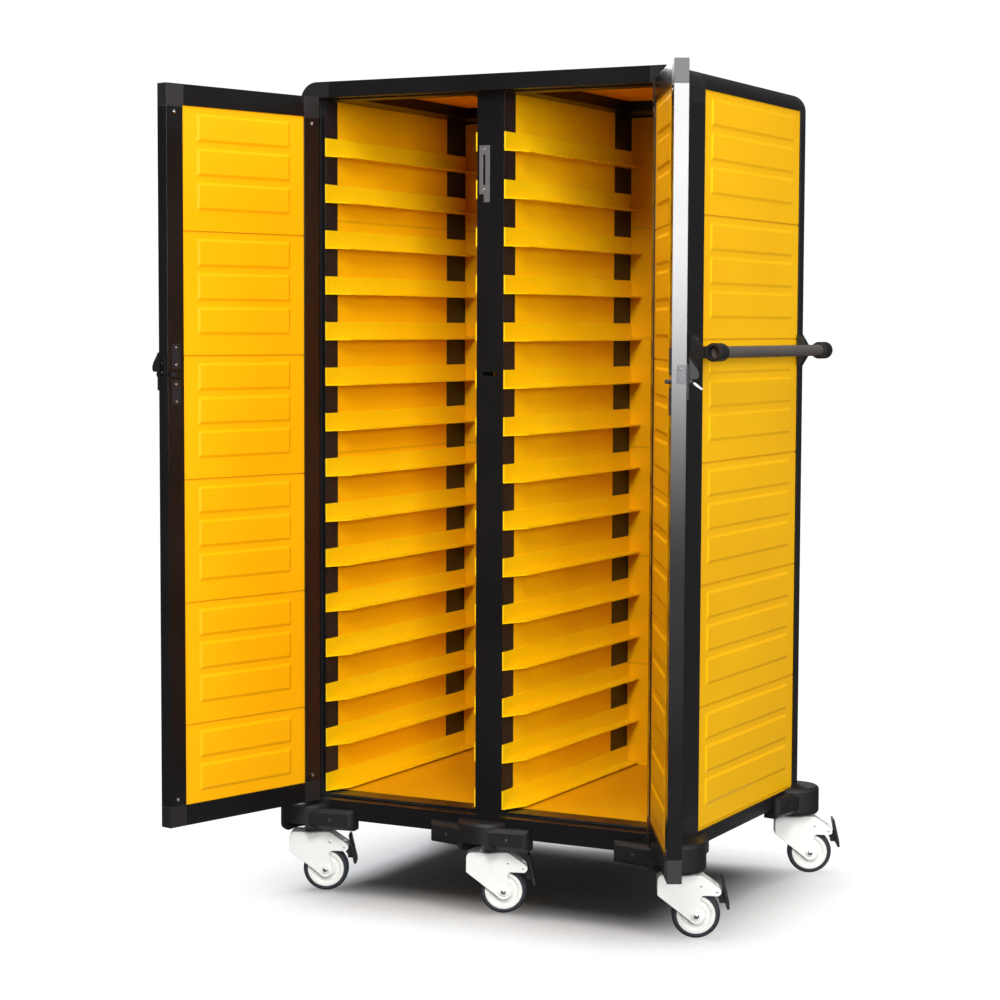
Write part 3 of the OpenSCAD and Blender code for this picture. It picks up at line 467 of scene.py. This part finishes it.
# %% [markdown]
# ## Cross-head screws, hexagon bolts and ribs
# A pan-head screw is a short cylinder with a crowned top and a crossed recess. In the tree the
# crown is a Set Position that lowers points by the square of their distance from the middle, and
# the recess is a Boolean with two crossed boxes. It is done once, on the single screw, before it is
# copied. Each screw is then given its own turn about its axis from a seeded random value: no fitter
# leaves them all aligned.

# %% Fitting recipes
SPIN_SEED, FULL_TURN = 7, 6.28


def standing(recipe, shape, spin=True):
    """Stands the shape on every point, its z axis along the point's facing."""
    turn = recipe.node("FunctionNodeAlignRotationToVector", {"axis": "Z"},
                       {"Vector": recipe.attribute("facing")})
    if spin:
        angle = recipe.node("FunctionNodeRandomValue", {"data_type": "FLOAT"},
                            {2: 0.0, 3: FULL_TURN, "Seed": SPIN_SEED}, out=1)
        own = recipe.node("FunctionNodeAxisAngleToRotation",
                          sockets={"Axis": (0, 0, 1), "Angle": angle})
        turn = recipe.node("FunctionNodeRotateRotation", {"rotation_space": "LOCAL"},
                           {0: turn, 1: own})
    else:
        turn = recipe.node("FunctionNodeAlignRotationToVector", {"axis": "X", "pivot_axis": "Z"},
                           {"Rotation": turn, "Vector": recipe.attribute("along")})
    return recipe.node("GeometryNodeInstanceOnPoints", sockets={
        "Points": recipe.given("Points"), "Instance": shape, "Rotation": turn})


def crowned(recipe, sides):
    """A disc whose top is lowered towards its edge."""
    radius, height = recipe.given("Radius"), recipe.given("Height")
    disc = recipe.node("GeometryNodeMeshCylinder", {"fill_type": "NGON"}, {
        "Vertices": sides, "Side Segments": 1, "Fill Segments": 3,
        "Radius": radius, "Depth": height})
    x, y, z = recipe.split(recipe.node("GeometryNodeInputPosition"))
    drop = (x * x + y * y) / (radius * radius) * height * recipe.given("Crown") * (z > 0)
    return recipe.node("GeometryNodeSetPosition", sockets={
        "Geometry": disc, "Offset": recipe.joined(0, 0, -1 * drop)})


screw = Recipe("cross_head_screw", Radius=0.004, Height=0.0022, Crown=0.5, Recess=0.0009)
recess, reach = screw.given("Recess"), screw.given("Radius") * 1.25
head = crowned(screw, 20)
for size in ((reach, recess, recess * 1.6), (recess, reach, recess * 1.6)):
    arm = screw.node("GeometryNodeTransform", sockets={
        "Geometry": screw.node("GeometryNodeMeshCube", sockets={"Size": screw.joined(*size)}),
        "Translation": screw.joined(0, 0, screw.given("Height") * 0.5)})
    head = screw.node("GeometryNodeMeshBoolean", {"operation": "DIFFERENCE"}, {0: head, 1: arm})
screw.done(standing(screw, head))

bolt = Recipe("hexagon_bolt", Radius=0.006, Height=0.004, Crown=0.25)
bolt.done(standing(bolt, crowned(bolt, 6)))

rivet = Recipe("round_rivet", Radius=0.0028, Height=0.0012, Crown=0.8)
rivet.done(standing(rivet, crowned(rivet, 20)))

rib = Recipe("tread_rib", Length=0.034, Width=0.0024, Height=0.0016)
rod = rib.node("GeometryNodeMeshCylinder", {"fill_type": "NGON"}, {
    "Vertices": 10, "Side Segments": 1, "Fill Segments": 1, "Radius": 0.5, "Depth": 1.0})
rod = rib.node("GeometryNodeTransform", sockets={"Geometry": rod, "Rotation": (0, math.pi / 2, 0)})
rod_size = rib.joined(rib.given("Length"), rib.given("Width"), rib.given("Height") * 2)
rod = rib.node("GeometryNodeTransform", sockets={"Geometry": rod, "Scale": rod_size})
rib.done(standing(rib, rod, spin=False))
print("recipes:", [g.name for g in bpy.data.node_groups if g.bl_idname == "GeometryNodeTree"])

# %% [markdown]
# ## Screws on the cabinet
# Where the real cart has fixings: two in the keeper plate, two in each foot of the push bars, and
# two in the cabinet's half of every hinge. Points on the left are mirrored for the right, as the
# cart itself is.

# %% Cabinet screws
def both_sides(spots):
    turned = MIRROR.to_3x3()
    return spots + [(MIRROR @ Vector(spot), *(turned @ Vector(way) for way in ways))
                    for spot, *ways in spots]


def attach(piece, body):
    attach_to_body(piece, body)
    faces = len(piece.data.polygons)
    print(f"{piece.name}: {faces} faces, rides on {body}")


def fit(recipe, name, spots, finish, body, slot="steel", **sizes):
    """Stands the recipe's fitting on every spot, as one piece that rides on the body."""
    attach(recipe.make(name, points(name, spots), finish, **sizes), body)


HINGE_Z = [DOOR["z"] + 62, DOOR_TOP - 62]           # middles of the hinges
HINGE_SCREWS = (-24, 24)                            # up and down from there
LATCH_Z, BAR_Z = 983, 1033                          # middles of the latches and push bars
FOOT_Y, FOOT_SCREW = (62, 684), 27                  # a bar's brackets, and the screws of each
KEEPER_Z, KEEPER_SCREWS = 1345, (26, 110)           # the keeper plate's lower end
hinge_spots = [((9, -3.2, z + dz), (0, -1, 0)) for z in HINGE_Z for dz in HINGE_SCREWS]
foot_spots = [((-11, y, BAR_Z + FOOT_SCREW * s), (-23, 0, 14 * s)) for y in FOOT_Y for s in (-1, 1)]
cabinet_spots = placed(CABINET, both_sides(hinge_spots + foot_spots))
fit(screw, "cabinet_screws", cabinet_spots, screw_dark, "cabinet")

keeper_spots = placed(CABINET, [((436, 29.9, KEEPER_Z + dz), (0, -1, 0)) for dz in KEEPER_SCREWS])
fit(screw, "keeper_screws", keeper_spots, screw_zinc, "cabinet", Radius=0.0032, Height=0.0012)

# %% [markdown]
# ## Bumper fixings
# Each arm of a bumper is screwed to the cabinet's edge, a little beyond the arm's middle. One
# quarter of the cart is measured, and the signs of x and y carry it to the other three.

# %% Bumper screws
ARM_OUT, ARM_BEND, ARM_SHARE = 40, math.radians(11), 0.6
CORNER_ARM, CENTRE_ARM = 136, 122                   # the arms' lengths
FRONT_ARM_X, SIDE_ARM_Y = 445, 337                  # where a corner's two arms leave


def on_arm(length):
    """A spot on an arm's outer face and the way it looks, for an arm that leaves along -x."""
    way = Vector((-math.cos(ARM_BEND), -math.sin(ARM_BEND), 0))
    return Vector((0, ARM_OUT, BODY_Z)) + way * length * ARM_SHARE, Vector((way.y, -way.x, 0))


def bumper_spots():
    half_w, half_d = BODY_W / 2, BODY_D / 2
    spot, facing = on_arm(CORNER_ARM)
    spots = [(spot + Vector((FRONT_ARM_X, half_d, 0)), facing),
             (Vector((spot.y + half_w, spot.x + SIDE_ARM_Y, spot.z)), facing.yxz)]
    spot, facing = on_arm(CENTRE_ARM)
    spots.append((spot + Vector((0, half_d, 0)), facing))
    signs = [Vector((sx, sy, 1)) for sx in (-1, 1) for sy in (-1, 1)]
    return placed(MM, [(s * sign, f * sign) for s, f in spots for sign in signs])


fit(screw, "bumper_screws", bumper_spots(), screw_dark, "cabinet", Radius=0.0035, Height=0.0012)

# %% [markdown]
# ## Screws on the doors
# On the inner side a screw shows near each corner, 57 mm from the door's end, and two in each of
# the latch's plates. On the outer side there are two in each hinge leaf.

# %% Door screws
CORNER_SCREW, LATCH_SCREWS = 57, (-56, -20, 20, 56)
LATCH_PLATE_T, LEAF_T = 1.4, 2.2


def door_spots():
    left, right = DOOR["x"] + DOOR["stile"] / 2, DOOR_END - DOOR["stile"] / 2
    inner, outer = DOOR["y"] + DOOR["t"], DOOR["y"]
    heights = DOOR["z"] + CORNER_SCREW, DOOR_TOP - CORNER_SCREW
    spots = [((x, inner, z), (0, 1, 0)) for x in (left, right) for z in heights]
    spots += [((right, inner + LATCH_PLATE_T, LATCH_Z + dz), (0, 1, 0)) for dz in LATCH_SCREWS]
    spots += [((DOOR["x"] + 22, outer - LEAF_T, z + dz), (0, -1, 0))
              for z in HINGE_Z for dz in HINGE_SCREWS]
    return spots


for side, matrix in HUNG.items():
    fit(screw, f"door_{side}_screws", placed(matrix, door_spots()), screw_zinc, f"door_{side}")

# %% [markdown]
# ## Door seals
# Round each bay a black rubber strip closes the three-millimetre gap behind the shut door. It
# follows a rectangle, so the recipe turns a loop of edges into a curve, rounds its corners and
# sweeps an oval profile along it. Three sides lie on the front frame's step. The fourth runs beside
# the flange of the centre post, out of reach of the shut door's screws and latch plates.

# %% Seal recipe and pieces
seal = Recipe("seal_strip", Width=0.0024, Height=0.003, Corner=0.006)
path = seal.node("GeometryNodeMeshToCurve", sockets={0: seal.given("Points")})
path = seal.node("GeometryNodeFilletCurve", {"mode": "POLY"},
                 {"Curve": path, "Count": 4, "Radius": seal.given("Corner")})
oval = seal.node("GeometryNodeCurvePrimitiveCircle", {"mode": "RADIUS"},
                 {"Resolution": 12, "Radius": 0.5})
oval = seal.node("GeometryNodeTransform", sockets={
    "Geometry": oval, "Scale": seal.joined(seal.given("Width"), seal.given("Height"), 1)})
seal.done(seal.node("GeometryNodeCurveToMesh", sockets={
    "Curve": path, "Profile Curve": oval, "Fill Caps": True}))


def loop(name, matrix, corners):
    mesh = bpy.data.meshes.new(name)
    count = len(corners)
    edges = [(n, (n + 1) % count) for n in range(count)]
    mesh.from_pydata([matrix @ Vector(c) for c in corners], edges, [])
    return mesh


SEAL_BOTTOM, SEAL_TOP = SILL - 3, 1574.4
AT_RIM, AT_POST = (RIM + 10, 31.2), (422.9, 33.8)   # x and y: on the rim's step, beside the post
corners = [(*AT_RIM, SEAL_BOTTOM), (*AT_POST, SEAL_BOTTOM),
           (*AT_POST, SEAL_TOP), (*AT_RIM, SEAL_TOP)]
for side, matrix in {"left": CABINET, "right": CABINET @ MIRROR}.items():
    name = f"seal_{side}"
    attach(seal.make(name, loop(name, matrix, corners), seal_black), "cabinet")

# %% [markdown]
# ## Caster fittings
# Every caster is the same, so it is dressed in its own drawing: the swivel axis is z, the wheel
# trails along x. One matrix for each caster carries the points to their corner. A hexagon closes
# each end of the axle, and two rivets show on either cheek, the lower one on the pin of the brake
# pedal.

# %% Caster bolts and rivets
CASTERS = [f"{end}_{place}" for end in ("front", "rear") for place in ("left", "middle", "right")]
AXLE, PEDAL_PIN, UPPER_RIVET = (40, 50), (82, 100), (50, 112)       # x and z of each
FORK_HALF, AXLE_OUT, RIVET_OUT = 25, 4.4, 0.2       # half the fork's width, and what stands out


def caster_matrix(name):
    """From the caster's drawing to its place, by the swivel's axis and the way the axle lies."""
    x, y, _ = joints[f"swivel_{name}"]["pos_m"]
    across = joints[f"roll_{name}"]["axis"]
    turn = Matrix.Rotation(math.atan2(across[1], across[0]) - math.pi / 2, 4, "Z")
    return Matrix.Translation((x, y, 0)) @ turn @ MM


for name in CASTERS:
    matrix = caster_matrix(name)
    ends = [((AXLE[0], s * (FORK_HALF + AXLE_OUT), AXLE[1]), (0, s, 0)) for s in (-1, 1)]
    fit(bolt, f"caster_{name}_axle_bolts", placed(matrix, ends), screw_zinc, f"fork_{name}")
    dots = [((x, s * (FORK_HALF + RIVET_OUT), z), (0, s, 0))
            for x, z in (UPPER_RIVET, PEDAL_PIN) for s in (-1, 1)]
    fit(rivet, f"caster_{name}_rivets", placed(matrix, dots), zinc, f"fork_{name}")

# %% [markdown]
# ## Wheel centres
# The white wheel centre is a turned shape: a raised hub, a dished ring, a shoulder and the rim that
# carries the tyre. A profile spun about the axle gives it in one go. The profile is drawn as radius
# against height over the wheel's middle plane, and both faces use it.

# %% Turned wheel centres
def rings_to_piece(name, matrix, stacks, finish):
    """Skins stacks of equally long rings of points, closed at both ends, smooth but for edges."""
    shape = bmesh.new()
    for stack in stacks:
        rings = [[shape.verts.new(spot) for spot in ring] for ring in stack]
        for inner, outer in zip(rings, rings[1:]):
            for k, corner in enumerate(inner):
                after = (k + 1) % len(inner)
                shape.faces.new((corner, inner[after], outer[after], outer[k]))
        shape.faces.new(rings[0])
        shape.faces.new(rings[-1])
    shape.transform(matrix)
    bmesh.ops.recalc_face_normals(shape, faces=shape.faces)
    mesh = bpy.data.meshes.new(name)
    shape.to_mesh(mesh)
    shape.free()
    mesh.materials.append(finish)
    for face in mesh.polygons:
        face.use_smooth = True
    mesh.set_sharp_from_angle(angle=math.radians(35))
    piece = bpy.data.objects.new(name, mesh)
    bpy.context.scene.collection.objects.link(piece)
    return piece


def turned(profile, steps=48):
    """Rings of a (radius, height) profile spun about the local y axis, on both faces."""
    angles = [2 * math.pi * k / steps for k in range(steps)]
    return [[[(r * math.cos(a), sign * h, r * math.sin(a)) for a in angles] for r, h in profile]
            for sign in (-1, 1)]


CENTRE = [(6, 16.2), (11, 16.2), (13, 14.6), (15, 12.4), (19.5, 11.6),
          (20.5, 12.8), (22.5, 12.8), (23.5, 11.4), (29.5, 11.0), (31, 13.4),
          (33, 14.4), (36.5, 14.4), (37.6, 13.6), (39.2, 13.2), (39.2, 8)]
for name in CASTERS:
    matrix = caster_matrix(name) @ Matrix.Translation((AXLE[0], 0, AXLE[1]))
    centre = rings_to_piece(f"caster_{name}_wheel_centre", matrix, turned(CENTRE), wheel_white)
    attach(centre, f"wheel_{name}")

# %% [markdown]
# ## Latch fittings
# A thin dark plate with two screws guides the latch at each door's free end, and the right latch
# carries a bright sleeve on its metal tongue. Both are a stack of rounded rectangles: equal ones
# make the sides, and a last smaller one makes the small chamfer that folded or stamped steel has
# all round.

# %% End plates and tongue sleeve
def rounded_stack(sections, steps=5):
    """Rounded rectangles along the local x axis, as (distance, half width, half height, corner)."""
    stack = []
    for at, half_y, half_z, corner in sections:
        ring = []
        for quadrant, (sign_y, sign_z) in enumerate(((1, 1), (-1, 1), (-1, -1), (1, -1))):
            for k in range(steps + 1):
                a = math.radians(90 * (quadrant + k / steps))
                ring.append((at, sign_y * (half_y - corner) + corner * math.cos(a),
                             sign_z * (half_z - corner) + corner * math.sin(a)))
        stack.append(ring)
    return [stack]


PLATE = [(-0.2, 8, 17.5, 2.5), (0.7, 8, 17.5, 2.5), (1.0, 7.7, 17.2, 2.3)]
PLATE_MIDDLE, PLATE_SCREWS = 13.5, (4, 23)          # up from the latch's middle
for side, matrix in HUNG.items():
    name = f"door_{side}_end_plate"
    middle = matrix @ Matrix.Translation((DOOR_END, 11, LATCH_Z + PLATE_MIDDLE))
    plate = rings_to_piece(name, middle, rounded_stack(PLATE), plate_dark)
    attach(plate, f"door_{side}")
    spots = [((DOOR_END + 1, 12, LATCH_Z + dz), (1, 0, 0)) for dz in PLATE_SCREWS]
    fit(screw, f"{name}_screws", placed(matrix, spots), screw_dark, f"door_{side}",
        Radius=0.0026, Height=0.0016)

TONGUE_DOWN, HUB_Y, LATCH_X = math.radians(37), -10, DOOR_END - 11
tongue = HUNG["right"] @ Matrix.Translation((LATCH_X, HUB_Y, LATCH_Z))
tongue = tongue @ Matrix.Rotation(TONGUE_DOWN, 4, "X") @ Matrix.Rotation(math.radians(-90), 4, "Z")
SLEEVE = [(4, 4.4, 2.4, 0.9), (23, 4.4, 2.4, 0.9), (24.4, 4.1, 2.2, 0.9), (25.0, 3.4, 1.6, 0.8)]
sleeve = rings_to_piece("latch_right_sleeve", tongue, rounded_stack(SLEEVE), zinc)
attach(sleeve, "latch_right")

# %% [markdown]
# ## Pedal treads
# The foot plate of the brake pedal has raised cross ribs. They repeat at an even pitch down the
# sloping plate, which is what the rib recipe is for: points down the slope, all facing out of the
# plate.

# %% Ribs on the pedals
PIN_X, PIN_Z = PEDAL_PIN
PEDAL_TOP, PEDAL_FOOT = Vector((PIN_X + 13, 0, PIN_Z + 27)), Vector((PIN_X + 27, 0, PIN_Z - 34))
FIRST_RIB, RIB_PITCH, RIBS = 5, 5.6, 10             # down the plate from its top
slope = (PEDAL_FOOT - PEDAL_TOP).normalized()
out_of_plate = Vector((-slope.z, 0, slope.x))
ribs = [(PEDAL_TOP + slope * (FIRST_RIB + RIB_PITCH * n), out_of_plate, (0, 1, 0))
        for n in range(RIBS)]
for name in CASTERS:
    spots = placed(caster_matrix(name), ribs)
    fit(rib, f"caster_{name}_pedal_ribs", spots, pedal_black, f"pedal_{name}", "pedal")

# %% [markdown]
# ## Floor, light and camera
# The picture is a studio shot on white: an even bright surround, a large soft light overhead, and a
# softbox like a window beside the camera, whose lower edge fades the bright streak on the end of
# the right door. The others open up the front, the right side and the back. The floor is a sheet of
# pale paper that is whole under the cart and fades into the white around it. Light linking keeps
# the window lights off the floor, so it has one soft shadow, and keeps the overhead light off the
# top panel, which would burn out from above. The camera's place and lens were worked out from the
# cabinet's straight edges.

# %% Floor
PAPER_LEFT, PAPER_HALF = 0.025, (0.315, 0.20)       # the whole paper's middle and half sizes
PAPER_FADE = 0.42                                   # how much further it takes to vanish


def pale_floor():
    mesh = bpy.data.meshes.new("floor")
    mesh.from_pydata([(-8, -8, 0), (8, -8, 0), (8, 8, 0), (-8, 8, 0)], [], [(0, 1, 2, 3)])
    finish = Finish("floor_paper", Roughness=0.75)
    tone = finish.ramp(finish.noise(3.0), (0.4, (0.86, 0.885, 0.92)), (0.6, (0.87, 0.895, 0.93)))
    finish.varies(Base_Color=tone)
    x, y, _ = finish.split(finish.place)
    half_x, half_y = PAPER_HALF
    beyond = finish.joined(abs(x + PAPER_LEFT) - half_x | 0, abs(y) - half_y | 0, 0)
    away = finish.node("ShaderNodeVectorMath", {"operation": "LENGTH"}, {0: beyond}, out=1)
    clear = finish.node("ShaderNodeBsdfTransparent")
    paper = Wire(finish, finish.shader.outputs[0])
    gone = finish.smooth(away, 0, PAPER_FADE)
    faded = finish.node("ShaderNodeMixShader", sockets={0: gone, 1: paper, 2: clear})
    finish.tree.links.new(faded.socket, finish.tree.nodes["Material Output"].inputs["Surface"])
    mesh.materials.append(finish.material)
    floor = bpy.data.objects.new("floor", mesh)
    bpy.context.scene.collection.objects.link(floor)
    return floor


floor = pale_floor()
print("floor laid")

# %% Light
def softbox(name, place, target, size, power):
    light = bpy.data.lights.new(name, "AREA")
    light.shape, light.size, light.size_y = "RECTANGLE", *size
    light.energy = power
    lamp = bpy.data.objects.new(name, light)
    lamp.location = place
    lamp.rotation_euler = (Vector(target) - Vector(place)).to_track_quat("-Z", "Y").to_euler()
    bpy.context.scene.collection.objects.link(lamp)
    return lamp


def keep_off(name, thing, lamps):
    """Light linking: the lamps light everything but this thing."""
    spared = bpy.data.collections.new(name)
    spared.objects.link(thing)
    spared.collection_objects[0].light_linking.link_state = "EXCLUDE"
    for lamp in lamps:
        lamp.light_linking.receiver_collection = spared


AS_LIGHT, MORE_TO_THE_EYE = 0.10, 0.95              # the surround: faint as a light, yet seen white
scene = bpy.context.scene
scene.world = bpy.data.worlds.new("studio")
scene.world.use_nodes = True
studio = Plan(scene.world.node_tree)
surround = studio.tree.nodes["Background"]
seen = studio.node("ShaderNodeLightPath", out="Is Camera Ray")
strength = AS_LIGHT + MORE_TO_THE_EYE * seen
surround.inputs["Color"].default_value = (1, 1, 1, 1)
studio.tree.links.new(strength.socket, surround.inputs["Strength"])

overhead = softbox("overhead", (-0.9, 0.2, 4.8), (-0.2, 0.0, 0), (4.2, 4.2), 290)
windows = [softbox("door_window", (3.83, -5.33, 2.14), (0.6, -0.7, 1.35), (1.6, 2.1), 250),
           softbox("front_window", (1.9, -4.6, 4.1), (0, -0.3, 0.9), (1.8, 1.8), 230),
           softbox("right_side", (4.6, -0.7, 1.8), (0.45, 0.0, 1.0), (2.0, 2.0), 80),
           softbox("rear_window", (-3.6, 4.4, 2.4), (0, 0.3, 1.0), (2.6, 2.6), 190)]
keep_off("not_the_floor", floor, windows)
keep_off("not_the_top", nodes["top_panel"], [overhead])

# %% Camera
SENSOR, PHOTO_WIDTH, FOCAL_LENGTH = 36, 1000, 2397.6          # in mm, and the others in pixels


def photo_camera():
    yaw, pitch, roll = 0.4779, 0.0723, 0.0039
    ahead = Vector((-math.sin(yaw), math.cos(yaw), 0))
    right = Vector((math.cos(yaw), math.sin(yaw), 0))
    up = Vector((0, 0, 1)) * math.cos(pitch) + ahead * math.sin(pitch)
    ahead = ahead * math.cos(pitch) - Vector((0, 0, 1)) * math.sin(pitch)
    cos, sin = math.cos(roll), math.sin(roll)
    right, up = right * cos + up * sin, up * cos - right * sin
    lens = bpy.data.cameras.new("camera")
    lens.sensor_fit, lens.sensor_width = "HORIZONTAL", SENSOR
    lens.lens = SENSOR * FOCAL_LENGTH / PHOTO_WIDTH
    camera = bpy.data.objects.new("camera", lens)
    camera.matrix_world = Matrix((right, up, -ahead)).transposed().to_4x4()
    camera.location = (2.358, -4.827, 1.254)
    bpy.context.scene.collection.objects.link(camera)
    return camera


scene.camera = photo_camera()
scene.view_settings.view_transform = "Standard"
place, lens = scene.camera.location, scene.camera.data.lens
print("camera at", [round(v, 3) for v in place], "lens", round(lens, 2), "mm")

# %% [markdown]
